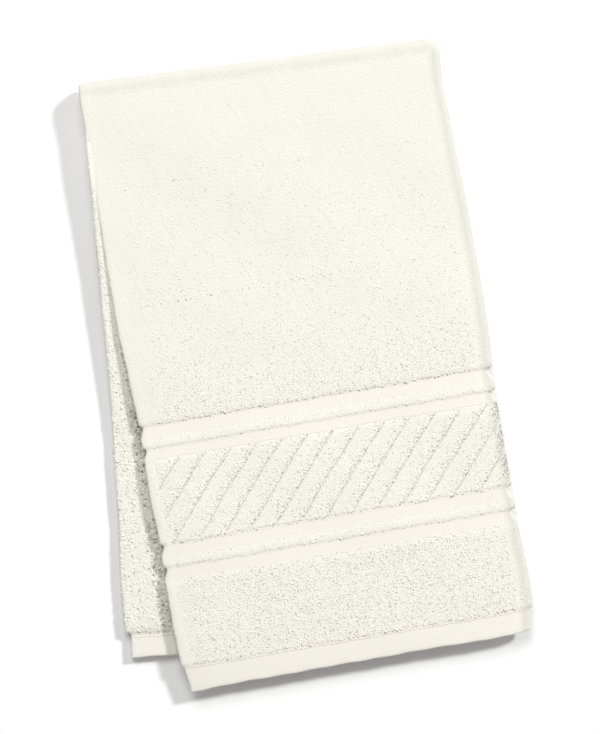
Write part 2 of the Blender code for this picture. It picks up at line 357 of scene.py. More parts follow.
@dataclass(frozen=True)
class Folding:
    """The towel's two folds, which take a place on the flat sheet to its place in the frame."""

    cut: Cut
    layer_pitch: float = 4.3 * MM
    crease_reach: float = 346.9 * MM
    crease_angle: float = -2.41
    crease_loft: float = 0.06
    loft_length: float = 70.0 * MM
    corner_radius: float = 4.0 * MM
    corner_width: float = 20.0 * MM
    hem_sag: float = 0.8 * MM
    hem_sag_span: float = 21.5 * MM
    side_sag: float = 0.8 * MM
    side_sag_span: float = 29.0 * MM
    sag_power: float = 1.7
    unevenness: float = 0.35 * MM
    edge_wobble: float = 0.35 * MM
    weave_waver: float = 0.45 * MM
    groove_recess: float = 1.9 * MM
    recess_reach: float = 9.0 * MM
    fold_droop: float = 1.0 * MM
    fold_droop_reach: float = 11.0 * MM
    edge_press: float = 1.0 * MM
    edge_press_reach: float = 14.0 * MM
    press: float = 0.20
    press_reach: float = 120.0 * MM
    edge_rise: float = 8.4 * MM
    edge_rise_start: float = 28.0 * MM
    edge_rise_full: float = 50.0 * MM
    edge_rise_end: float = 205.0 * MM
    edge_rise_room: float = 0.5 * MM
    edge_rise_fade: tuple[float, float] = (1.3, 0.5)
    droop_fade: float = 40.0 * MM
    edge_press_power: float = 1.5
    edge_press_ends: float = 150.0 * MM
    edge_press_fade: float = 90.0 * MM
    inner_wobble_start: float = 40.0 * MM
    waver_stretch: float = 0.4
    # Where the strip lies on which the upper half's shadow is painted.
    strip_width: float = 7.5 * MM
    strip_share: float = 0.42
    strip_least: float = 0.1 * MM
    strip_soft: float = 0.3
    strip_past: float = 6.0 * MM
    strip_fade: float = 4.0 * MM
    strip_start: float = 3.0 * MM
    strip_delay: float = 1.2

    @property
    def side_radius(self) -> float:
        """Radius of the lengthwise fold at the sheet's middle."""
        return self.layer_pitch / 2

    @property
    def side_arc(self) -> float:
        """Half the length of sheet that goes round the lengthwise fold."""
        return self.side_radius * math.pi / 2

    @property
    def side_reach(self) -> float:
        """From the flat layers' start to the lengthwise fold's outermost line."""
        return self.side_radius + self.cut.full

    @property
    def slant(self) -> tuple[float, float]:
        """Cosine and sine of the crosswise fold's angle."""
        angle = math.radians(self.crease_angle)
        return math.cos(angle), math.sin(angle)

    @property
    def outer_crease(self) -> float:
        """How far the crosswise fold's outermost line lies from the front edge, square to it."""
        return self.crease_reach * self.slant[0]

    @property
    def bend_start(self) -> float:
        """Where the doubled strip starts to bend round the crosswise fold."""
        return self.outer_crease - self.layer_pitch - self.side_reach

    @property
    def bend_end(self) -> float:
        """Where the doubled strip has come round the crosswise fold."""
        return self.bend_start + self.layer_pitch * math.pi

    @property
    def middle_height(self) -> float:
        """Height of the gap between the upper and the lower half."""
        return self.layer_pitch + self.side_reach

    def fold_lengthwise(
        self, across: np.ndarray, distance: np.ndarray, offset: np.ndarray
    ) -> tuple[np.ndarray, np.ndarray]:
        """Bends the sheet round the lengthwise fold, which droops a little on the upper half.

        Args:
            across: places across the flat sheet.
            distance: distances from the front edge.
            offset: heights above the sheet's middle.

        Returns:
            The places across, 0 at the fold's outermost line, and the heights above the middle of
            the two layers.
        """
        radius = self.side_radius + offset
        angle = np.clip(across / self.side_radius, -math.pi / 2, math.pi / 2)
        past = np.maximum(np.abs(across) - self.side_arc, 0.0)
        x = radius * np.cos(angle) - past - self.side_reach
        height = -radius * np.sin(angle)
        near = np.clip(1 + x / self.fold_droop_reach, 0.0, 1.0) ** 2
        upper = 1 - eased((distance - self.bend_start) / self.droop_fade + 1)
        to_edge = self.cut.inset(across) / self.edge_press_reach
        at_edge = np.clip(1 - to_edge, 0.0, 1.0) ** self.edge_press_power
        from_front = np.minimum(distance, self.cut.length - distance)
        far = 1 - eased((from_front - self.edge_press_ends) / self.edge_press_fade)
        drop = self.fold_droop * near * upper + self.edge_press * at_edge * far
        squeeze = drop / (2 * self.side_reach)
        return x, (height + self.side_reach) * (1 - squeeze) - self.side_reach

    def shape_side(self, x: np.ndarray, outer: np.ndarray, distance: np.ndarray) -> np.ndarray:
        """Moves places across so that the sides bow, wobble and draw in at the grooves."""
        stops = np.array([row.distance for row in SIDES])
        low = np.clip(np.searchsorted(stops, distance, side="right") - 1, 0, len(SIDES) - 2)
        share = eased((distance - stops[low]) / (stops[low + 1] - stops[low]))

        def read(column: str) -> np.ndarray:
            """Reads one column of the table at every distance."""
            values = np.array([getattr(row, column) for row in SIDES])
            return values[low] + (values[low + 1] - values[low]) * share

        cut = self.cut
        slack = self.side_reach - self.side_arc
        width = np.where(outer, cut.outer_width, cut.inner_width) + slack
        edge = np.where(outer, read("outer_edge"), read("inner_edge"))
        part = np.clip(-x / width, 0.0, 1.0)
        along = distance + np.where(outer, 0.0, self.inner_wobble_start)
        lengths = (37, 19, 9, 5, 3.4)
        wobble = self.edge_wobble * waves(along, 0.0, lengths, seed=8)
        draw = wobble - self.groove_recess * cut.notch(distance)
        at_fold = eased(1 + x / self.recess_reach)
        at_edge = eased(1 - (width + x) / self.recess_reach)
        return x + read("fold") * (1 - part) - edge * part + draw * at_fold - draw * at_edge

    def shape_hem(self, x: np.ndarray, distance: np.ndarray) -> np.ndarray:
        """Draws the front edge up along its uneven line and lets the weave's lines waver."""
        share = np.clip(1 + x / self.cut.outer_width, 0.0, 1.0)
        rise = np.interp(share, [row.share for row in HEM_LINE], [row.rise for row in HEM_LINE])
        hem = self.cut.section("front_hem").end
        waver = waves(x, distance * self.waver_stretch, (47, 23, 11), seed=12) * self.weave_waver
        return distance + waver + rise * np.clip(1 - distance / hem, 0.0, 1.0)

    def fold_crosswise(
        self, x: np.ndarray, y: np.ndarray, height: np.ndarray
    ) -> tuple[np.ndarray, np.ndarray, np.ndarray]:
        """Bends the doubled strip round the skewed crosswise fold.

        Args:
            x: places across the strip.
            y: distances from the front edge.
            height: heights above the strip's middle.

        Returns:
            The places along the crease, the places square to it and the heights off the surface.
        """
        cosine, sine = self.slant
        along = x * cosine + y * sine
        square = y * cosine - x * sine
        radius = self.layer_pitch + height
        angle = np.clip((square - self.bend_start) / self.layer_pitch, 0.0, math.pi)
        straight = np.minimum(square, self.bend_start) - np.maximum(square - self.bend_end, 0.0)
        return along, straight + radius * np.sin(angle), self.middle_height + radius * np.cos(angle)

    def corner_draw(self, square: np.ndarray, side_distance: np.ndarray) -> np.ndarray:
        """How far a side is drawn in to round a corner at the crosswise fold."""
        inside = np.clip(self.corner_radius - (self.outer_crease - square), 0.0, self.corner_radius)
        depth = self.corner_radius - np.sqrt(self.corner_radius ** 2 - inside ** 2)
        return depth * np.clip(1 - side_distance / self.corner_width, 0.0, 1.0) ** 2

    def sag(self, along: np.ndarray, square: np.ndarray) -> np.ndarray:
        """How far the upper half sinks where it reaches past the half underneath."""
        cosine, sine = self.slant
        unfolded = self.bend_start + self.bend_end - square
        past_fold = np.maximum(along * cosine - unfolded * sine, 0.0)
        past_hem = np.maximum(along * sine + unfolded * cosine - self.cut.length, 0.0)
        hem_part = self.hem_sag * (past_hem / self.hem_sag_span) ** self.sag_power
        return hem_part + self.side_sag * (past_fold / self.side_sag_span) ** self.sag_power

    def shown(self, away: np.ndarray) -> np.ndarray:
        """How wide the lower half shows beside the upper half, at distances from the crease."""
        return 2 * math.tan(math.radians(-self.crease_angle)) * np.maximum(away, 0.0)

    def shadow_strip(self, across: np.ndarray, distance: np.ndarray) -> np.ndarray:
        """1 on the strip of the lower half that lies right beside the upper half's edge, where the
        upper half's shadow falls and shadow is painted.
        """
        inset = self.cut.inset(across)
        shown = self.shown(distance - self.bend_end)
        reach = np.minimum(self.strip_width, self.strip_share * shown) + self.strip_least
        beside = eased((inset - shown + reach) / (self.strip_soft * reach))
        covered = eased((shown + self.strip_past - inset) / self.strip_fade)
        return beside * covered * eased(shown / self.strip_start - self.strip_delay)

    def rise(self, square: np.ndarray, inset: np.ndarray) -> np.ndarray:
        """How far the lower half's free edge stands up beside the upper half, near the crease."""
        away = self.outer_crease - square
        shown = self.shown(away)
        near = (self.edge_rise_end - away) / (self.edge_rise_end - self.edge_rise_full)
        near = np.clip(near, 0.0, 1.0) * eased(away / self.edge_rise_start)
        across_strip = inset / (shown + self.edge_rise_room)
        return self.edge_rise * near * faded(across_strip, *self.edge_rise_fade)

    def fold(self, across: np.ndarray, distance: np.ndarray, offset: np.ndarray) -> np.ndarray:
        """Folds places on the flat sheet twice.

        Args:
            across: places across the flat sheet.
            distance: distances from the front edge.
            offset: heights above the sheet's middle.

        Returns:
            Rows of three coordinates, with the lengthwise fold and the front edge at 0.
        """
        x, height = self.fold_lengthwise(across, distance, offset)
        x = self.shape_side(x, across < 0, distance)
        along, square, z = self.fold_crosswise(x, self.shape_hem(x, distance), height)
        folded_width = self.cut.outer_width + self.side_reach - self.side_arc
        along = along + self.corner_draw(square, folded_width + x) - self.corner_draw(square, -x)
        from_crease = np.clip((self.outer_crease - square) / self.loft_length, 0.0, 1.0)
        pressed = 1 - self.press * eased((self.outer_crease - square) / self.press_reach)
        upper = z > self.middle_height
        z = z * (pressed + self.crease_loft * (1 - from_crease) ** 2)
        z = z - np.where(upper, self.sag(along, square), 0.0)
        lift = self.unevenness * waves(along, square, (150, 90, 61), seed=11)
        z = z + np.where(upper, lift * eased(from_crease * 2), self.rise(square, folded_width + x))
        cosine, sine = self.slant
        plan_x = along * cosine - square * sine
        plan_y = along * sine + square * cosine
        return np.stack([plan_x, plan_y, z], axis=-1)

    @cached_property
    def shift(self) -> np.ndarray:
        """From the folded sheet's own coordinates to the frame, whose origin is mid footprint."""
        across, distance = np.meshgrid(
            np.linspace(-self.cut.outer_width, self.cut.inner_width, 201),
            np.linspace(0.0, self.cut.length, 686))
        sheet = self.fold(across.ravel(), distance.ravel(), np.full(across.size, self.cut.full))
        middle = (sheet.min(axis=0) + sheet.max(axis=0)) / 2
        box_middle = (CAD_LOW + CAD_HIGH) / 2
        return np.array([box_middle.x - middle[0], box_middle.y - middle[1], 0.0])

    def place(self, across: np.ndarray, distance: np.ndarray, offset: np.ndarray) -> np.ndarray:
        """Takes places on the flat sheet to their places in the frame, as rows of three."""
        return self.fold(across, distance, offset) + self.shift

    def direction(self, base: np.ndarray, way: np.ndarray) -> np.ndarray:
        """Turns directions on the flat sheet into directions in the frame.

        Args:
            base: rows of across, distance and offset.
            way: rows of a direction in the same three coordinates.

        Returns:
            Unit directions, one row for each base.
        """
        step = 0.05 * MM
        ahead = base + way * step
        behind = base - way * step
        turned = self.place(*ahead.T) - self.place(*behind.T)
        return turned / np.maximum(np.linalg.norm(turned, axis=1, keepdims=True), 1e-12)


class NodeWork:
    """Adds nodes to a tree and feeds their inputs."""

    def __init__(self, tree: bpy.types.NodeTree) -> None:
        """Keeps the tree that the nodes go into."""
        self.tree = tree

    def feed(self, socket: bpy.types.NodeSocket, value: object) -> None:
        """Links another node's socket to an input, or sets the input to a plain value."""
        if isinstance(value, bpy.types.NodeSocket):
            self.tree.links.new(value, socket)
        else:
            socket.default_value = value

    def add(
        self, kind: str, inputs: dict[str | int, object] | None = None, **settings: object
    ) -> bpy.types.Node:
        """Adds one node.

        Args:
            kind: the node's type.
            inputs: what feeds its inputs, by name or number.
            settings: the node's own properties.

        Returns:
            The new node.
        """
        node = self.tree.nodes.new(kind)
        for name, value in settings.items():
            setattr(node, name, value)
        for name, value in (inputs or {}).items():
            self.feed(node.inputs[name], value)
        return node


@dataclass(frozen=True)
class CottonFinish:
    """Matt cream cotton: its colour, how the colour drifts, the grain of its surface, and how far a
    stored tone and painted shade deepen the colour.
    """

    name: str
    colour: tuple[float, float, float] = (0.955, 0.929, 0.846)
    shade: tuple[float, float, float] = (0.915, 0.889, 0.804)
    drift_size: float = 60.0
    grain_size: float = 1500.0
    grain_depth: float = 0.10 * MM
    roughness: float = 0.95
    sheen: float = 0.08
    sheen_roughness: float = 0.7
    specular: float = 0.1
    glow: float = 0.0
    glow_depth: float = 0.8 * MM
    glow_colour: tuple[float, float, float] = (1.0, 0.95, 0.8)
    # Grey that the colour is multiplied by where the stored tone and painted shade is 1.
    tone_and_painted_shade_level: float = 0.64

    def material(self) -> bpy.types.Material:
        """Makes the material with soft colour drift, the relief of its surface, and the tone and
        painted shade stored on the points.
        """
        material = bpy.data.materials.new(self.name)
        material.use_nodes = True
        work = NodeWork(material.node_tree)
        place = work.add("ShaderNodeTexCoord").outputs["Object"]
        drift = work.add(
            "ShaderNodeTexNoise", {"Vector": place, "Scale": self.drift_size, "Detail": 3.0})
        blend = work.add("ShaderNodeMix", data_type="RGBA")
        toned = work.add("ShaderNodeMix", data_type="RGBA", blend_type="MULTIPLY", clamp_factor=False)
        # Reads the tone and painted shade stored on each point.
        tone = work.add("ShaderNodeAttribute", attribute_name="tone")
        bump = work.add(
            "ShaderNodeBump", {"Distance": self.grain_depth, "Height": self.relief(work, place)})
        shader = material.node_tree.nodes["Principled BSDF"]
        for node, inputs in (
            (blend, {
                "Factor": drift.outputs["Fac"], "A": (*self.shade, 1.0), "B": (*self.colour, 1.0)}),
            (toned, {
                "Factor": tone.outputs["Fac"], "A": blend.outputs["Result"],
                "B": (*(self.tone_and_painted_shade_level,) * 3, 1.0)}),
            (shader, {
                "Base Color": toned.outputs["Result"], "Normal": bump.outputs["Normal"],
                "Roughness": self.roughness, "Sheen Weight": self.sheen,
                "Sheen Roughness": self.sheen_roughness, "Specular IOR Level": self.specular,
                "Subsurface Weight": self.glow, "Subsurface Radius": self.glow_colour,
                "Subsurface Scale": self.glow_depth}),
        ):
            for name, value in inputs.items():
                work.feed(node.inputs[name], value)
        return material

    def relief(self, work: NodeWork, place: bpy.types.NodeSocket) -> bpy.types.NodeSocket:
        """Adds the height of the surface's fine fibres."""
        grain = work.add(
            "ShaderNodeTexNoise", {"Vector": place, "Scale": self.grain_size, "Detail": 2.0})
        return grain.outputs["Fac"]


@dataclass(frozen=True)
class TwillFinish(CottonFinish):
    """Flat-woven cotton, whose fine diagonal wales follow the flat sheet."""

    wale_pitch: float = 1.5 * MM
    wale_angle: float = 62.0
    wale_share: float = 0.35
    bands_at_scale_1: float = 3.2

    def relief(self, work: NodeWork, place: bpy.types.NodeSocket) -> bpy.types.NodeSocket:
        """Adds the height of the wales, broken up by the fibres."""
        flat = work.add("ShaderNodeUVMap", uv_map="flat_cloth").outputs["UV"]
        turn = work.add(
            "ShaderNodeMapping",
            {"Vector": flat, "Rotation": (0.0, 0.0, math.radians(self.wale_angle))})
        wales = work.add("ShaderNodeTexWave", {
            "Vector": turn.outputs["Vector"], "Scale": 1 / self.wale_pitch / self.bands_at_scale_1,
            "Distortion": 2.5, "Detail": 2.0, "Detail Scale": 2.0})
        both = work.add("ShaderNodeMath", {
            0: wales.outputs["Fac"], 1: self.wale_share, 2: super().relief(work, place)},
            operation="MULTIPLY_ADD")
        return both.outputs["Value"]


def mesh_object(name: str, points: np.ndarray, faces: np.ndarray) -> bpy.types.Object:
    """Makes an object from points and four-cornered faces and links it to the scene.

    Args:
        name: the object's name.
        points: rows of three coordinates, in the frame.
        faces: rows of four point numbers.

    Returns:
        The new object, at the origin.
    """
    mesh = bpy.data.meshes.new(name)
    mesh.vertices.add(len(points))
    mesh.vertices.foreach_set("co", points.astype(np.float32).ravel())
    if len(faces):
        mesh.loops.add(faces.size)
        mesh.loops.foreach_set("vertex_index", faces.astype(np.int32).ravel())
        mesh.polygons.add(len(faces))
        mesh.polygons.foreach_set("loop_start", np.arange(0, faces.size, 4, dtype=np.int32))
    mesh.update(calc_edges=True)
    mesh.validate()
    thing = bpy.data.objects.new(name, mesh)
    bpy.context.scene.collection.objects.link(thing)
    return thing


def shell_faces(row_count: int, column_count: int) -> np.ndarray:
    """Point numbers for both sides of a sheet of points and the rim between them."""
    number = np.arange(row_count * column_count).reshape(row_count, column_count)
    under = number + number.size
    top = np.stack([number[:-1, :-1], number[:-1, 1:], number[1:, 1:], number[1:, :-1]], -1)
    bottom = np.stack([under[:-1, :-1], under[1:, :-1], under[1:, 1:], under[:-1, 1:]], -1)
    around = np.concatenate([
        number[0, :-1], number[:-1, -1], number[-1, :0:-1], number[:0:-1, 0]])
    following = np.roll(around, -1)
    rim = np.stack([around, around + number.size, following + number.size, following], -1)
    return np.concatenate([top.reshape(-1, 4), bottom.reshape(-1, 4), rim])


def store_tone_and_painted_shade(piece: bpy.types.Object, tone: np.ndarray) -> None:
    """Stores how far each point's colour is turned towards the finish's darkest level, for its tone
    and its painted shade.
    """
    layer = piece.data.attributes.new("tone", "FLOAT", "POINT")
    layer.data.foreach_set("value", tone.astype(np.float32))


@dataclass
class TerryCloth:
    """The sheet itself: its woven ground, hems and grooves, and the dense foot of the pile."""

    cut: Cut
    folding: Folding
    band: RibBand
    terry: bpy.types.Material
    flat_weave: bpy.types.Material
    fine_step: float = 1.5 * MM
    field_step: float = 2.2 * MM
    hidden_step: float = 9.0 * MM
    side_step: float = 0.9 * MM
    bend_step: float = 1.0 * MM
    back_step: float = 2.5 * MM
    under_step: float = 5.0 * MM
    arc_steps: int = 6
    side_margin: float = 2.0 * MM
    sliver_width: float = 45.0 * MM
    edge_insets: tuple[float, ...] = (0.0, 0.25 * MM, 0.6 * MM, 1.2 * MM, 2.6 * MM)
    edge_share: tuple[float, ...] = (0.45, 0.72, 0.89, 0.98, 1.0)
    bed_relief: float = 0.10 * MM
    upper_tone: float = 0.38
    field_tone: float = 0.44
    # Painted shade at the crosswise crease and at the lengthwise fold's rim, weaker on the lower
    # half.
    painted_crease_shade: float = 0.84
    painted_rim_shade: float = 0.82
    back_tone: float = 0.40
    # Painted shade along the back hem's seam line, where the pile meets the hem.
    painted_seam_shade: float = 0.9
    # Painted shadow, with grain, on the strip beside the upper half's edge.
    shadow_tone: float = 0.28
    shadow_grain: float = 1.5
    back_rim_share: float = 0.6
    rim_fade: tuple[float, float] = (11.0 * MM, 8.5 * MM)
    crease_before: float = 4.0 * MM
    crease_soft: float = 6.0 * MM
    crease_end: float = 2.0 * MM
    seam_reach: float = 0.8 * MM

    def stretch(self, start: float, end: float, step: float) -> np.ndarray:
        """Even places from start to just before end, about a step apart."""
        count = max(int(round((end - start) / step)), 1)
        return start + (end - start) * np.arange(count) / count

    def columns(self) -> np.ndarray:
        """Places across the flat sheet at which the mesh is divided."""
        cut, arc = self.cut, self.folding.side_arc
        insets = np.array(self.edge_insets)
        outer_in = -cut.outer_width + insets[-1]
        inner_in = cut.inner_width - insets[-1]
        side = -cut.outer_width + cut.side_hem + self.side_margin
        sliver = cut.inner_width - self.sliver_width
        return np.concatenate([
            insets[:-1] - cut.outer_width,
            self.stretch(outer_in, side, self.side_step),
            self.stretch(side, -arc, self.field_step),
            self.stretch(-arc, arc, arc / self.arc_steps),
            self.stretch(arc, sliver, self.hidden_step),
            self.stretch(sliver, inner_in, self.field_step),
            cut.inner_width - insets[::-1],
        ])

    def rows(self) -> np.ndarray:
        """Distances from the front edge at which the mesh is divided."""
        cut, folding = self.cut, self.folding
        insets = np.array(self.edge_insets)
        half = cut.shoulder / 2
        parts = [insets[:-1]]
        start = insets[-1]
        for section in cut.sections[:-2]:
            parts.append(self.stretch(start, section.end - half, self.fine_step))
            parts.append(np.array([section.end - half, section.end]))
            start = section.end + half
        field_end = cut.section("field").end
        lean = abs(folding.slant[1]) * cut.outer_width
        for low, high, step in (
            (start, folding.bend_start, self.field_step),
            (folding.bend_start, folding.bend_end, self.bend_step),
            (folding.bend_end, folding.bend_end + lean, self.back_step),
            (folding.bend_end + lean, field_end - half, self.under_step),
        ):
            parts.append(self.stretch(low, high, step))
        parts.append(np.array([field_end - half, field_end, field_end + half]))
        parts.append(self.stretch(field_end + 2 * half, cut.length - insets[-1], self.back_step))
        parts.append(cut.length - insets[::-1])
        return np.concatenate(parts)

    def row_turn(self, distance: np.ndarray) -> np.ndarray:
        """How far the rows are turned to run along the crease: 1 at it, 0 at the border."""
        folding, cut = self.folding, self.cut
        field_end = cut.section("field").end
        front = (distance - cut.border_end) / (folding.bend_start - cut.border_end)
        back = (field_end - distance) / (field_end - folding.bend_end)
        return np.clip(np.minimum(front, back), 0.0, 1.0)

    def heights(self, across: np.ndarray, distance: np.ndarray) -> np.ndarray:
        """Half the thickness of the modelled sheet at each place, relief included."""
        cut = self.cut
        half = cut.half_thickness(across, distance)
        pile = cut.share(Weave.PILE, distance) * (1 - cut.side_share(across))
        clumps = waves(across, distance, (7.1, 5.3, 3.9, 3.1), seed=3)
        half = half + pile * self.bed_relief * clumps - self.band.sunk(across, distance)
        inset = np.minimum.reduce([cut.inset(across), distance, cut.length - distance])
        return half * np.interp(inset, self.edge_insets, self.edge_share)

    def under_ribs(self, across: np.ndarray, distance: np.ndarray) -> np.ndarray:
        """1 where the sheet is sunk to the floor of the diagonal grooves, 0 elsewhere."""
        band = self.band
        left = across + self.cut.outer_width - band.left_inset - band.floor_inset
        along = np.minimum(distance - band.start, band.end - distance) / band.floor_end
        side = np.minimum(left, band.right - across) / band.floor_side
        return eased(along) * eased(side + 0.5)

    def tone(self, across: np.ndarray, distance: np.ndarray) -> np.ndarray:
        """How far each place's colour is deepened: a nearly even deepening on both halves, a little
        more on the pressed field, and painted shade at the folds, at the back hem's seam and in the
        upper half's shadow beside its edge.
        """
        folding = self.folding
        # Painted shade at the crosswise crease and at the lengthwise fold's rim.
        at_fold = faded(np.abs(across), *self.rim_fade)
        cosine, sine = folding.slant
        x = -np.maximum(np.abs(across) - folding.side_arc, 0.0) - folding.side_reach
        square = distance * cosine - x * sine
        at_crease = eased((square - folding.bend_start + self.crease_before) / self.crease_soft)
        back = square > (folding.bend_start + folding.bend_end) / 2
        past = square > folding.bend_end - self.crease_end
        creased = np.where(past, self.back_tone, self.painted_crease_shade * at_crease)
        rim = self.painted_rim_shade * at_fold * np.where(back, self.back_rim_share, 1.0)
        folded = np.maximum(rim, creased)
        plain = self.upper_tone + (self.field_tone - self.upper_tone) * self.cut.pressed(distance)
        # Painted shadow with grain beside the upper half's edge, stopped at the back hem, and painted
        # shade along the seam.
        grain = waves(across, distance, (3.9, 2.9, 2.3, 1.7), seed=15)
        under = np.clip(self.shadow_tone + self.shadow_grain * grain, 0.0, MOST_TONE)
        under = under * folding.shadow_strip(across, distance)
        # Painted shade along the back hem's seam.
        past_seam = distance - self.cut.section("back_hem").start
        seam = self.painted_seam_shade * np.exp(-(past_seam / self.seam_reach) ** 2)
        under = np.maximum(np.where(past_seam > 0, 0.0, under), seam)
        return np.maximum(folded, np.where(back, under, plain))

    def build(self) -> bpy.types.Object:
        """Builds the closed sheet, with its flat places as a UV map."""
        columns, rows = self.columns(), self.rows()
        across, distance = np.meshgrid(columns, rows)
        x = self.folding.fold_lengthwise(across, distance, np.zeros_like(across))[0]
        cosine, sine = self.folding.slant
        distance = distance + x * sine / cosine * self.row_turn(distance)
        across, distance = across.ravel(), distance.ravel()
        half = self.heights(across, distance)
        sunk = half + (self.band.floor - half) * self.under_ribs(across, distance)
        upper = self.folding.place(across, distance, sunk)
        lower = self.folding.place(across, distance, -half)
        points = np.concatenate([upper, lower])
        faces = shell_faces(len(rows), len(columns))
        cloth = mesh_object("terry_cloth", points, faces)
        self.dress(cloth, across, distance, faces)
        # Painted shade on the floors of the diagonal grooves.
        floor = self.band.shade * self.under_ribs(across, distance)
        tone = np.maximum(self.tone(across, distance), floor)
        store_tone_and_painted_shade(cloth, np.tile(tone, 2))
        return cloth

    def dress(
        self, cloth: bpy.types.Object, across: np.ndarray, distance: np.ndarray, faces: np.ndarray
    ) -> None:
        """Gives the sheet its UV map in metres, its two finishes and smooth shading."""
        flat = np.stack([across, distance], -1)
        flat = np.concatenate([flat, flat])
        layer = cloth.data.uv_layers.new(name="flat_cloth")
        shifted = flat + np.array([self.cut.outer_width, 0.0])
        layer.data.foreach_set("uv", shifted[faces.ravel()].astype(np.float32).ravel())
        cloth.data.materials.append(self.terry)
        cloth.data.materials.append(self.flat_weave)
        middle = flat[faces].mean(axis=1)
        flat_faces = self.cut.share(Weave.PILE, middle[:, 1]) < 0.5
        cloth.data.polygons.foreach_set("material_index", flat_faces.astype(np.int32))
        cloth.data.polygons.foreach_set("use_smooth", np.ones(len(faces), dtype=bool))
        cloth.data.update()


@dataclass
class RibBeds:
    """The diagonal ribs' own foot: low pillows with steep sides and narrow gaps between them."""

    cut: Cut
    folding: Folding
    band: RibBand
    cloth: TerryCloth
    finish: bpy.types.Material
    step: float = 1.2 * MM
    places: tuple[float, ...] = (0.0, 0.01, 0.03, 0.08, 0.25, 0.5, 0.75, 0.92, 0.97, 0.99, 1.0)
    shares: tuple[float, ...] = (0.62, 0.84, 0.95, 0.99, 1.0, 1.0, 1.0, 0.99, 0.95, 0.84, 0.62)
    ends: tuple[float, ...] = (-0.10 * MM, 0.15 * MM, 0.55 * MM)
    end_shares: tuple[float, ...] = (0.62, 0.85, 1.0)
    underside: float = 0.4 * MM
    least_rows: int = 4
    settling: int = 4
    gap_waver: float = 0.6
    gap_shift: float = 31.0 * MM
    left_fade: float = 2.0 * MM
    painted_shade_growth: float = 6.0

    def rows(self) -> np.ndarray:
        """Distances at which each rib is divided."""
        band, ends = self.band, np.array(self.ends)
        inner = np.linspace(band.start + ends[-1], band.end - ends[-1],
                            int((band.end - band.start) / self.step))
        return np.concatenate([band.start + ends[:-1], inner, band.end - ends[-2::-1]])

    def build(self) -> bpy.types.Object:
        """Builds every rib between the selvage and the lengthwise fold as one piece."""
        band, cut = self.band, self.cut
        rows = self.rows()
        left = band.left_inset - cut.outer_width
        low = int(np.floor((left - band.line(band.end)) / band.pitch))
        high = int(np.ceil((band.right - band.line(band.start)) / band.pitch))
        points, faces, tones, count = [], [], [], 0
        for number in range(low, high):
            rib = self.rib(number, rows)
            if rib is None:
                continue
            across, distance, half, shade = rib
            upper = self.folding.place(across, distance, half)
            lower = self.folding.place(across, distance, np.full_like(half, self.underside))
            faces.append(shell_faces(len(across) // len(self.places), len(self.places)) + count)
            points += [upper, lower]
            tones.append(np.tile(np.maximum(self.cloth.tone(across, distance), shade), 2))
            count += 2 * len(across)
        beds = mesh_object("rib_beds", np.concatenate(points), np.concatenate(faces))
        beds.data.materials.append(self.finish)
        beds.data.polygons.foreach_set("use_smooth", np.ones(len(beds.data.polygons), dtype=bool))
        store_tone_and_painted_shade(beds, np.concatenate(tones))
        return beds

    def rib(self, number: int, rows: np.ndarray) -> tuple[np.ndarray, ...] | None:
        """Lays out one rib: across, distance, height and painted groove shade of its points, or None
        if outside.
        """
        band = self.band
        left, right = band.left_inset - self.cut.outer_width, band.right
        middle = band.line(rows) + (number + 0.5) * band.pitch
        rows = rows[(middle > left - band.pitch / 2) & (middle < right + band.pitch / 2)]
        if len(rows) < self.least_rows:
            return None
        share, distance = np.meshgrid(np.array(self.places), rows)
        side, _ = np.meshgrid(np.array(self.shares), rows)
        gap = band.gap / 2 * band.presence(distance) / math.cos(math.radians(band.slant))
        along = distance + self.gap_shift * number
        gap = gap * (1 + self.gap_waver * waves(along, 0.0, (17, 7, 4), seed=14))
        straight = band.line(distance) + number * band.pitch
        straight = straight + gap + (band.pitch - 2 * gap) * share
        across = straight
        for _ in range(self.settling):
            across = straight - band.drift(across, distance)
        across = np.clip(across, left, right)
        presence = band.presence(distance) * eased((across - left) / self.left_fade)
        half = self.cloth.heights(across, distance) * (1 - (1 - side) * presence)
        inside = np.minimum(distance - band.start, band.end - distance)
        half = half * np.interp(inside, self.ends, self.end_shares)
        # Painted shade on the rib's steep sides next to the grooves.
        shade = band.shade * np.clip((1 - side) * self.painted_shade_growth, 0, 1) * presence
        return across.ravel(), distance.ravel(), half.ravel(), shade.ravel()


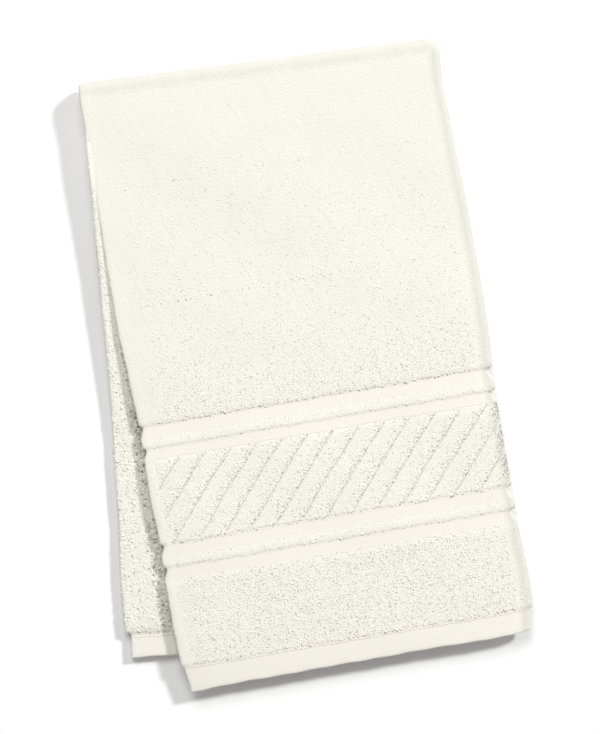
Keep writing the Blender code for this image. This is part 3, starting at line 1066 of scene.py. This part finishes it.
class LoopTree(NodeWork):
    """The Geometry Nodes tree that stands one small loop of yarn on every point of a mesh."""

    INPUTS = (
        ("Loop span", "NodeSocketFloat"),
        ("Loop height", "NodeSocketFloat"),
        ("Yarn thickness", "NodeSocketFloat"),
        ("Loop sweep", "NodeSocketFloat"),
        ("Loop points", "NodeSocketInt"),
        ("Yarn sides", "NodeSocketInt"),
        ("Finish", "NodeSocketMaterial"),
    )

    def __init__(self) -> None:
        """Builds the tree once; every patch of pile uses it with its own inputs."""
        super().__init__(bpy.data.node_groups.new("loops_on_points", "GeometryNodeTree"))
        face = self.tree.interface
        face.new_socket("Geometry", in_out="INPUT", socket_type="NodeSocketGeometry")
        self.sockets = {
            name: face.new_socket(name, in_out="INPUT", socket_type=kind).identifier
            for name, kind in self.INPUTS
        }
        face.new_socket("Geometry", in_out="OUTPUT", socket_type="NodeSocketGeometry")
        self.wire()

    def attribute(self, name: str, kind: str) -> bpy.types.NodeSocket:
        """Adds a node that reads one of the points' attributes."""
        node = self.add("GeometryNodeInputNamedAttribute", {"Name": name}, data_type=kind)
        return next(s for s in node.outputs if s.name == "Attribute" and s.enabled)

    def maths(self, operation: str, *values: object) -> bpy.types.NodeSocket:
        """Adds a math node fed by sockets or plain numbers."""
        return self.add("ShaderNodeMath", dict(enumerate(values)), operation=operation).outputs[0]

    def yarn_loop(self, given: bpy.types.bpy_prop_collection) -> bpy.types.NodeSocket:
        """Adds one loop: an arc of yarn that stands upright."""
        half_span = self.maths("MULTIPLY", given["Loop span"], 0.5)
        half_sweep = self.maths("MULTIPLY", given["Loop sweep"], 0.5)
        arc = self.add("GeometryNodeCurveArc", {
            "Resolution": given["Loop points"], "Radius": half_span,
            "Start Angle": self.maths("SUBTRACT", math.pi / 2, half_sweep),
            "Sweep Angle": given["Loop sweep"]}, mode="RADIUS")
        tallness = self.maths("DIVIDE", given["Loop height"], half_span)
        size = self.add("ShaderNodeCombineXYZ", {"X": 1.0, "Y": tallness, "Z": 1.0})
        tall = self.add("GeometryNodeTransform", {
            "Geometry": arc.outputs["Curve"], "Scale": size.outputs["Vector"]})
        stood = self.add("GeometryNodeTransform", {
            "Geometry": tall.outputs["Geometry"], "Rotation": (math.pi / 2, 0.0, 0.0)})
        half_yarn = self.maths("MULTIPLY", given["Yarn thickness"], 0.5)
        yarn = self.add("GeometryNodeCurvePrimitiveCircle", {
            "Resolution": given["Yarn sides"], "Radius": half_yarn}, mode="RADIUS")
        loop = self.add("GeometryNodeCurveToMesh", {
            "Curve": stood.outputs["Geometry"], "Profile Curve": yarn.outputs["Curve"],
            "Fill Caps": True})
        smooth = self.add("GeometryNodeSetShadeSmooth", {"Geometry": loop.outputs["Mesh"]})
        return smooth.outputs["Geometry"]

    def wire(self) -> None:
        """Lays out the tree: a loop stood on each point, realized and finished."""
        given = self.add("NodeGroupInput").outputs
        turn = self.add("FunctionNodeAxesToRotation", {
            "Primary Axis": self.attribute("stands", "FLOAT_VECTOR"),
            "Secondary Axis": self.attribute("heads", "FLOAT_VECTOR")},
            primary_axis="Z", secondary_axis="X")
        spread = self.add("GeometryNodeInstanceOnPoints", {
            "Points": given["Geometry"], "Instance": self.yarn_loop(given),
            "Rotation": turn.outputs["Rotation"], "Scale": self.attribute("size", "FLOAT_VECTOR")})
        real = self.add("GeometryNodeRealizeInstances", {"Geometry": spread.outputs["Instances"]})
        finish = self.add("GeometryNodeSetMaterial", {
            "Geometry": real.outputs["Geometry"], "Material": given["Finish"]})
        self.add("NodeGroupOutput", {"Geometry": finish.outputs["Geometry"]})

    def grow(self, points: bpy.types.Object, **inputs: object) -> bpy.types.Object:
        """Runs the tree on an object's points and leaves a plain mesh in their place.

        Args:
            points: an object whose mesh has the points and their attributes.
            inputs: the tree's inputs, named with underscores for spaces.

        Returns:
            The same object with the finished mesh and no modifier.
        """
        modifier = points.modifiers.new("Loops", "NODES")
        modifier.node_group = self.tree
        for name, value in inputs.items():
            modifier[self.sockets[name.replace("_", " ").capitalize()]] = value
        graph = bpy.context.evaluated_depsgraph_get()
        made = bpy.data.meshes.new_from_object(points.evaluated_get(graph))
        for label in ("stands", "heads", "size"):
            made.attributes.remove(made.attributes[label])
        points.modifiers.remove(modifier)
        bare = points.data
        points.data = made
        made.name = points.name
        bpy.data.meshes.remove(bare)
        return points


@dataclass(frozen=True)
class Yarn:
    """One kind of loop of yarn: how wide it spans, how high it stands and how thick it is."""

    span: float
    height: float
    thickness: float
    sweep: float
    points: int = 3
    sides: int = 3


@dataclass
class YarnWork:
    """Whatever stands on the sheet as loops of yarn."""

    cut: Cut
    folding: Folding
    cloth: TerryCloth
    tree: LoopTree
    finish: bpy.types.Material

    def stand(
        self, name: str, yarn: Yarn, base: np.ndarray, up: np.ndarray, way: np.ndarray,
        size: np.ndarray, lit: np.ndarray
    ) -> bpy.types.Object:
        """Turns flat places and directions into loops in the frame.

        Args:
            name: the piece's name.
            yarn: the loop's own sizes.
            base: rows of across, distance and offset.
            up: the way each loop stands, on the flat sheet.
            way: the way each loop's width runs, on the flat sheet.
            size: each loop's scale along its width, its yarn and its height.
            lit: what is added to each loop's tone and painted shade.

        Returns:
            The finished piece.
        """
        points = mesh_object(name, self.folding.place(*base.T), np.zeros((0, 4)))
        for label, values in (
            ("stands", self.folding.direction(base, up)),
            ("heads", self.folding.direction(base, way)),
            ("size", size),
        ):
            attribute = points.data.attributes.new(label, "FLOAT_VECTOR", "POINT")
            attribute.data.foreach_set("vector", values.astype(np.float32).ravel())
        store_tone_and_painted_shade(points, np.clip(self.cloth.tone(base[:, 0], base[:, 1]) + lit, 0.0, MOST_TONE))
        return self.tree.grow(
            points, Loop_span=yarn.span, Loop_height=yarn.height, Yarn_thickness=yarn.thickness,
            Loop_sweep=yarn.sweep, Loop_points=yarn.points, Yarn_sides=yarn.sides,
            Finish=self.finish)


@dataclass(frozen=True)
class PilePatch:
    """One stretch of pile on the flat sheet."""

    name: str
    across: tuple[float, float]
    distance: tuple[float, float]
    seed: int
    column_pitch: float = 1.15 * MM
    row_pitch: float = 1.25 * MM
    parted: bool = False
    grown: float = 1.0
    calm: float = 0.0


@dataclass
class Pile(YarnWork):
    """The loops that stand on the sheet, patch by patch."""

    band: RibBand
    loop: Yarn = Yarn(0.95 * MM, 0.50 * MM, 0.95 * MM, math.radians(205))
    lean: float = 0.30
    lean_spread: float = 0.40
    heading_spread: float = 55.0
    size_spread: float = 0.18
    missing: float = 0.015
    edge_hold: float = 1.1 * MM
    tuft_reach: float = 0.9 * MM
    overhang: float = 0.90 * MM
    embed: float = 0.50 * MM
    edge_inset: float = 1.5 * MM
    wrap_past: float = 3.0 * MM
    under_past: float = 4.0 * MM
    crease_past: float = 6.0 * MM
    sliver_insets: tuple[float, float] = (34.0 * MM, 0.3 * MM)
    narrow_calm: float = 0.95
    raised_calm: float = 0.35
    stagger: float = 0.25
    jitter: float = 0.36
    end_gap: float = 0.15 * MM
    feather_start: float = 2.0 * MM
    feather: float = 7.0 * MM
    parted_share: float = 0.9
    hidden_shown: float = 7.0 * MM
    hidden_share: float = 0.45
    row_drift: float = 1.3 * MM
    row_pitch: float = 4.2 * MM
    row_fade: tuple[float, float] = (30.0 * MM, 20.0 * MM)
    groove_reach: float = 1.4 * MM
    groove_lean: float = 0.55
    groove_steady: float = 0.6
    groove_upright: float = 0.7
    groove_heading_spread: float = 0.2
    edge_heading_spread: float = 0.45
    calm_steady: float = 0.55
    press_lean: float = 0.4
    press_flat: float = 0.50
    side_flat: float = 0.30
    calm_flat: float = 0.45
    size_limit: float = 0.4
    patchy_tone: float = 0.2
    tuft_growth: float = 0.60
    # How far painted shade varies from loop to loop in the upper half's shadow, as lit and shaded
    # tufts.
    shadow_speckle_depth: float = 0.9
    strip_growth: float = 1.5
    streak: float = 0.30
    streak_drift: float = 0.9 * MM
    streak_pitch: float = 2.6 * MM
    streak_fade: tuple[float, float] = (11.0 * MM, 5.0 * MM)
    calm_fold_fade: tuple[float, float] = (12.0 * MM, 7.0 * MM)
    calm_edge_fade: tuple[float, float] = (17.0 * MM, 9.0 * MM)
    edge_calm: float = 0.85
    rib_calm: float = 0.9
    rib_calm_drop: float = 1.35
    rib_calm_hold: float = 1.3

    def patches(self) -> list[PilePatch]:
        """The stretches of pile that show, each small enough for one piece."""
        cut, folding = self.cut, self.folding
        edge = -cut.outer_width + self.edge_inset
        wrap = folding.side_arc + self.wrap_past
        raised = ("lower_field", "narrow_rib_1", "ribbed_band", "narrow_rib_2")
        near = []
        for number, name in enumerate(raised):
            section = cut.section(name)
            reach = (section.start, section.end)
            calm = self.narrow_calm if name.startswith("narrow") else self.raised_calm
            near.append(PilePatch(f"loops_{name}", (edge, wrap), reach, 21 + number, calm=calm))
        start, end = cut.border_end, folding.bend_end + self.crease_past
        third = (end - start) / 3
        for part in range(3):
            reach = (start + third * part, start + third * (part + 1))
            near.append(PilePatch(f"loops_field_{part + 1}", (edge, wrap), reach, 31 + part))
        field_end = cut.section("field").end
        sliver = tuple(cut.inner_width - inset for inset in self.sliver_insets)
        near.append(PilePatch(
            "loops_under_edge", sliver, (end, field_end), 41, column_pitch=1.5 * MM,
            row_pitch=1.6 * MM, parted=True, grown=1.45))
        under = (-wrap - self.under_past, wrap)
        near.append(PilePatch("loops_under_fold", under, (end, field_end), 42, row_pitch=2.1 * MM))
        return near

    def lay(self, patch: PilePatch) -> np.ndarray:
        """Places the loops of a patch on the flat sheet in staggered lengthwise rows.

        Args:
            patch: the stretch of pile.

        Returns:
            Rows of across and distance.
        """
        random = np.random.default_rng(patch.seed)
        (left, right), (start, end) = patch.across, patch.distance
        columns = max(int(round((right - left) / patch.column_pitch)), 1)
        rows = max(int(round((end - start) / patch.row_pitch)), 1)
        column, row = np.meshgrid(np.arange(columns), np.arange(rows))
        column, row = column.ravel(), row.ravel()
        stagger = np.where(column % 2, self.stagger, -self.stagger)
        jitter = random.uniform(-self.jitter, self.jitter, (2, len(row)))
        across = left + (right - left) * (column + 0.5 + jitter[0]) / columns
        distance = start + (end - start) * (row + 0.5 + stagger + jitter[1]) / rows
        over = self.overhang * random.uniform(0, 1, len(row))
        distance = np.clip(distance, start - over, end - self.end_gap)
        keep = random.uniform(0, 1, len(row)) > self.missing
        if not patch.parted:
            feather = (self.cut.inset(across) - self.feather_start) / self.feather
            keep &= random.uniform(0, 1, len(row)) < eased(feather)
        ragged = waves(across, distance, (9, 4, 2.6, 1.8), seed=9)
        clear = self.band.clear + self.band.clear_spread * ragged
        to_groove = np.abs(self.band.to_groove(across, distance))
        keep &= to_groove > clear * self.band.presence(distance)
        if patch.parted:
            parting = self.parting(across, distance) * self.parted_share
            keep &= random.uniform(0, 1, len(row)) > parting
            shown = self.folding.shown(distance - self.folding.bend_end)
            bare = self.cut.inset(across) < self.hidden_share * shown
            keep &= (shown > self.hidden_shown) | bare
        return np.stack([across[keep], distance[keep]], -1)

    def parting(self, across: np.ndarray, distance: np.ndarray) -> np.ndarray:
        """How far the pile is parted into wavering lengthwise rows, near a selvage."""
        inset = self.cut.inset(across)
        drift = self.row_drift * waves(distance, 0.0, (90, 47, 23), seed=6)
        rows = np.cos((inset + drift) * 2 * math.pi / self.row_pitch)
        fade = faded(inset, *self.row_fade)
        patchy = eased(0.6 + waves(across, distance, (33, 21), seed=7))
        return np.clip(rows * 1.6 - 0.6, 0.0, 1.0) * fade * patchy

    def grow(self, patch: PilePatch) -> bpy.types.Object:
        """Stands loops on a patch: they lean towards the hem, and along or away from grooves."""
        places = self.lay(patch)
        across, distance = places[:, 0], places[:, 1]
        random = np.random.default_rng(patch.seed + 1000)
        count = len(places)
        pressed = self.cut.pressed(distance)
        foot = self.cloth.heights(across, distance) - self.embed
        base = np.stack([across, distance, foot], -1)
        slant = math.radians(self.band.slant)
        to_groove = self.band.to_groove(across, distance)
        beside = np.exp(-(to_groove / self.groove_reach) ** 2) * self.band.presence(distance)
        away = np.sign(to_groove) * beside * self.groove_lean
        calm = self.calm(patch, across, distance)
        lean_spread = self.lean_spread * (1 - self.calm_steady * calm)
        lean_x = random.normal(0, 1, count) * lean_spread * (1 - self.groove_steady * beside)
        lean_y = -self.lean * (1 + self.press_lean * pressed)
        lean_y = lean_y + random.normal(0, 1, count) * lean_spread
        lean_x = lean_x + away * math.cos(slant)
        lean_y = lean_y * (1 - self.groove_upright * beside) - away * math.sin(slant)
        up = np.stack([lean_x, lean_y, np.ones(count)], -1)
        up = up / np.linalg.norm(up, axis=1, keepdims=True)
        spread = np.radians(self.heading_spread)
        heading = math.pi / 2 + random.normal(0, spread, count)
        along_groove = math.pi / 2 - slant + random.normal(0, self.groove_heading_spread, count)
        heading = heading * (1 - beside) + along_groove * beside
        to_edge = self.to_edge(distance)
        at_edge = np.clip(1 - to_edge / self.edge_hold, 0.0, 1.0)
        level = random.normal(0, self.edge_heading_spread, count)
        heading = heading * (1 - at_edge) + level * at_edge
        way = np.stack([np.cos(heading), np.sin(heading), np.zeros(count)], -1)
        varied = random.normal(0, self.size_spread, (count, 3))
        size = patch.grown * (1 + varied.clip(-self.size_limit, self.size_limit))
        at_side = self.cut.side_share(across)
        size[:, 2] *= (
            (1 - self.press_flat * pressed) * (1 - self.side_flat * at_side)
            * (1 - self.calm_flat * calm))
        tuft = np.exp(-((distance - patch.distance[0]) / self.tuft_reach) ** 2)
        size *= 1 + self.tuft_growth * (tuft * random.uniform(0, 1, count))[:, None]
        lit = np.zeros(count)
        # On the lower half beside the upper half's edge, each loop gets a random tone and painted
        # streaks of light and shade. In the upper half's shadow it also gets painted shade that
        # varies from loop to loop, and it stands taller there.
        if patch.parted:
            under = self.folding.shadow_strip(across, distance)
            patchy = random.uniform(-self.patchy_tone, self.patchy_tone, count)
            painted_shadow_speckle = random.uniform(-self.shadow_speckle_depth, self.shadow_speckle_depth, count) * under
            lit = patchy + painted_shadow_speckle + self.streaks(across, distance)
            size[:, 2] *= 1 + self.strip_growth * random.uniform(0, 1, count) * under
        return self.stand(patch.name, self.loop, base, up, way, size, lit)

    def streaks(self, across: np.ndarray, distance: np.ndarray) -> np.ndarray:
        """Lengthwise streaks of light and shade where the lower half rolls down to its edge."""
        inset = self.cut.inset(across)
        drift = self.streak_drift * waves(distance, 0.0, (70, 31, 13), seed=16)
        lines = np.sin((inset + drift) * 2 * math.pi / self.streak_pitch)
        return self.streak * lines * faded(inset, *self.streak_fade)

    def calm(self, patch: PilePatch, across: np.ndarray, distance: np.ndarray) -> np.ndarray:
        """How smooth the pile lies: on narrow ribs, at the fold and on each rib's left side."""
        calm = np.maximum(patch.calm, faded(np.abs(across), *self.calm_fold_fade))
        if not patch.parted:
            at_edge = faded(self.cut.inset(across), *self.calm_edge_fade)
            calm = np.maximum(calm, self.edge_calm * at_edge)
        ribbed = (distance > self.band.start) & (distance < self.band.end)
        over = self.band.across_rib(across, distance)
        on_rib = self.rib_calm - self.rib_calm_drop * over ** 3
        return np.where(ribbed, np.maximum(on_rib, 2 * calm - self.rib_calm_hold), calm)

    def to_edge(self, distance: np.ndarray) -> np.ndarray:
        """How far each place lies from the nearest edge of its section."""
        stops = np.array([section.end for section in self.cut.sections[:-1]])
        return np.abs(distance[:, None] - stops[None, :]).min(axis=1)

    def build(self) -> list[bpy.types.Object]:
        """Grows every patch of pile."""
        return [self.grow(patch) for patch in self.patches()]


@dataclass(frozen=True)
class Seam:
    """One row of stitches across a hem, on one layer of the folded sheet."""

    distance: float
    outer: bool


@dataclass
class Stitches(YarnWork):
    """The stitches that hold both hems."""

    thread: Yarn = Yarn(2.2 * MM, 0.20 * MM, 0.34 * MM, math.radians(180), points=4)
    pitch: float = 2.7 * MM
    front_inset: float = 1.4 * MM
    back_insets: tuple[float, float] = (0.9 * MM, 2.4 * MM)
    run_ends: tuple[float, float] = (4.0 * MM, 2.0 * MM)
    waver: float = 0.06 * MM
    tilt: float = 0.06
    tilt_spread: float = 0.05

    def seams(self) -> list[Seam]:
        """The rows of stitches: one on the front hem, two close together on the back hem."""
        front = self.cut.section("front_hem").end - self.front_inset
        back = self.cut.section("back_hem").start
        lines = (front, *(back + inset for inset in self.back_insets))
        return [Seam(line, outer) for line in lines for outer in (True, False)]

    def build(self) -> bpy.types.Object:
        """Sews every row as one piece."""
        cut = self.cut
        random = np.random.default_rng(77)
        base, ways = [], []
        for seam in self.seams():
            width = cut.outer_width if seam.outer else cut.inner_width
            run = np.arange(self.run_ends[0], width - self.run_ends[1], self.pitch)
            across = run * (-1 if seam.outer else 1)
            distance = seam.distance + random.normal(0, self.waver, len(run))
            base.append(np.stack([across, distance, self.cloth.heights(across, distance)], -1))
            tilt = random.normal(self.tilt, self.tilt_spread, len(run))
            ways.append(np.stack([np.cos(tilt), np.sin(tilt), np.zeros(len(run))], -1))
        places, way = np.concatenate(base), np.concatenate(ways)
        up = np.tile([0.0, 0.0, 1.0], (len(places), 1))
        size = np.ones((len(places), 3))
        return self.stand("hem_stitches", self.thread, places, up, way, size, np.zeros(len(places)))


@dataclass(frozen=True)
class Lamp:
    """A round soft light, placed by the direction it shines from."""

    name: str
    azimuth: float
    elevation: float
    distance: float
    size: float
    power: float

    def build(self) -> None:
        """Hangs the light and turns it to the towel."""
        lamp = bpy.data.lights.new(self.name, "AREA")
        lamp.shape = "DISK"
        lamp.size = self.size
        lamp.energy = self.power
        hung = bpy.data.objects.new(self.name, lamp)
        bpy.context.scene.collection.objects.link(hung)
        azimuth, elevation = math.radians(self.azimuth), math.radians(self.elevation)
        way = Vector((
            math.cos(azimuth) * math.cos(elevation), math.sin(azimuth) * math.cos(elevation),
            math.sin(elevation)))
        hung.location = way * self.distance
        hung.rotation_euler = way.to_track_quat("Z", "Y").to_euler()


@dataclass
class Studio:
    """A plain white floor, a soft white surround, two soft lights and the camera."""

    lean: float = -9.7
    centre: tuple[float, float] = (7.2 * MM, -4.3 * MM)
    height: float = 1.4154
    lens: float = 120.0
    sensor: float = 36.0
    surround: float = 0.35
    floor_half: float = 4.0
    floor_colour: tuple[float, float, float] = (0.93, 0.93, 0.93)
    floor_roughness: float = 0.9
    lamps: tuple[Lamp, ...] = (
        Lamp("key", 27.0, 38.0, 5.0, 0.70, 174.0),
        Lamp("overhead", 94.0, 54.0, 2.3, 1.40, 27.8),
    )

    def floor(self) -> None:
        """Lays the floor just under the towel."""
        corners = np.array([[-1, -1, 0], [1, -1, 0], [1, 1, 0], [-1, 1, 0]]) * self.floor_half
        ground = mesh_object("studio_floor", corners, np.array([[0, 1, 2, 3]]))
        material = bpy.data.materials.new("studio_white")
        material.use_nodes = True
        shader = material.node_tree.nodes["Principled BSDF"]
        shader.inputs["Base Color"].default_value = (*self.floor_colour, 1.0)
        shader.inputs["Roughness"].default_value = self.floor_roughness
        shader.inputs["Specular IOR Level"].default_value = 0.0
        ground.data.materials.append(material)

    def light(self) -> None:
        """Sets the surround and hangs the lights."""
        world = bpy.data.worlds.new("studio")
        bpy.context.scene.world = world
        world.use_nodes = True
        background = world.node_tree.nodes["Background"]
        background.inputs["Color"].default_value = (1.0, 1.0, 1.0, 1.0)
        background.inputs["Strength"].default_value = self.surround
        for lamp in self.lamps:
            lamp.build()

    def camera(self) -> None:
        """Hangs the camera straight above, turned so that the towel leans to the left."""
        lens = bpy.data.cameras.new("overhead_view")
        lens.lens = self.lens
        lens.sensor_width = self.sensor
        eye = bpy.data.objects.new("overhead_view", lens)
        bpy.context.scene.collection.objects.link(eye)
        eye.location = (*self.centre, self.height)
        eye.rotation_euler = (0.0, 0.0, math.radians(self.lean))
        bpy.context.scene.camera = eye

    def build(self) -> None:
        """Sets up the whole studio."""
        self.floor()
        self.light()
        self.camera()
        bpy.context.scene.view_settings.view_transform = "Standard"


def triangles(piece: bpy.types.Object) -> int:
    """Counts a piece's triangles."""
    return sum(len(face.vertices) - 2 for face in piece.data.polygons)


def main() -> None:
    """Builds the towel and its studio, in order."""
    logging.basicConfig(level=logging.INFO, format="%(name)s: %(message)s")
    cut = Cut()
    folding = Folding(cut)
    ribbed = cut.section("ribbed_band")
    band = RibBand(ribbed.start, ribbed.end)
    foot = CottonFinish("cream_pile_foot", grain_size=900.0, grain_depth=0.25 * MM).material()
    flat = TwillFinish(
        "cream_flat_weave", colour=(0.968, 0.940, 0.857), shade=(0.948, 0.920, 0.837),
        grain_depth=0.14 * MM, glow=0.3).material()
    loops = CottonFinish("cream_loops").material()
    sheet = TerryCloth(cut, folding, band, foot, flat)
    cloth = sheet.build()
    beds = RibBeds(cut, folding, band, sheet, foot).build()
    tree = LoopTree()
    pile = Pile(cut, folding, sheet, tree, loops, band)
    stitches = Stitches(cut, folding, sheet, tree, flat)
    pieces = [beds, *pile.build(), stitches.build()]
    for piece in [cloth, *pieces]:
        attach(piece, BODY)
        log.info("%s: %d triangles", piece.name, triangles(piece))
    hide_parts(NODE)
    log.info("all pieces: %d triangles", sum(triangles(piece) for piece in [cloth, *pieces]))
    Studio().build()


if __name__ == "__main__":
    main()
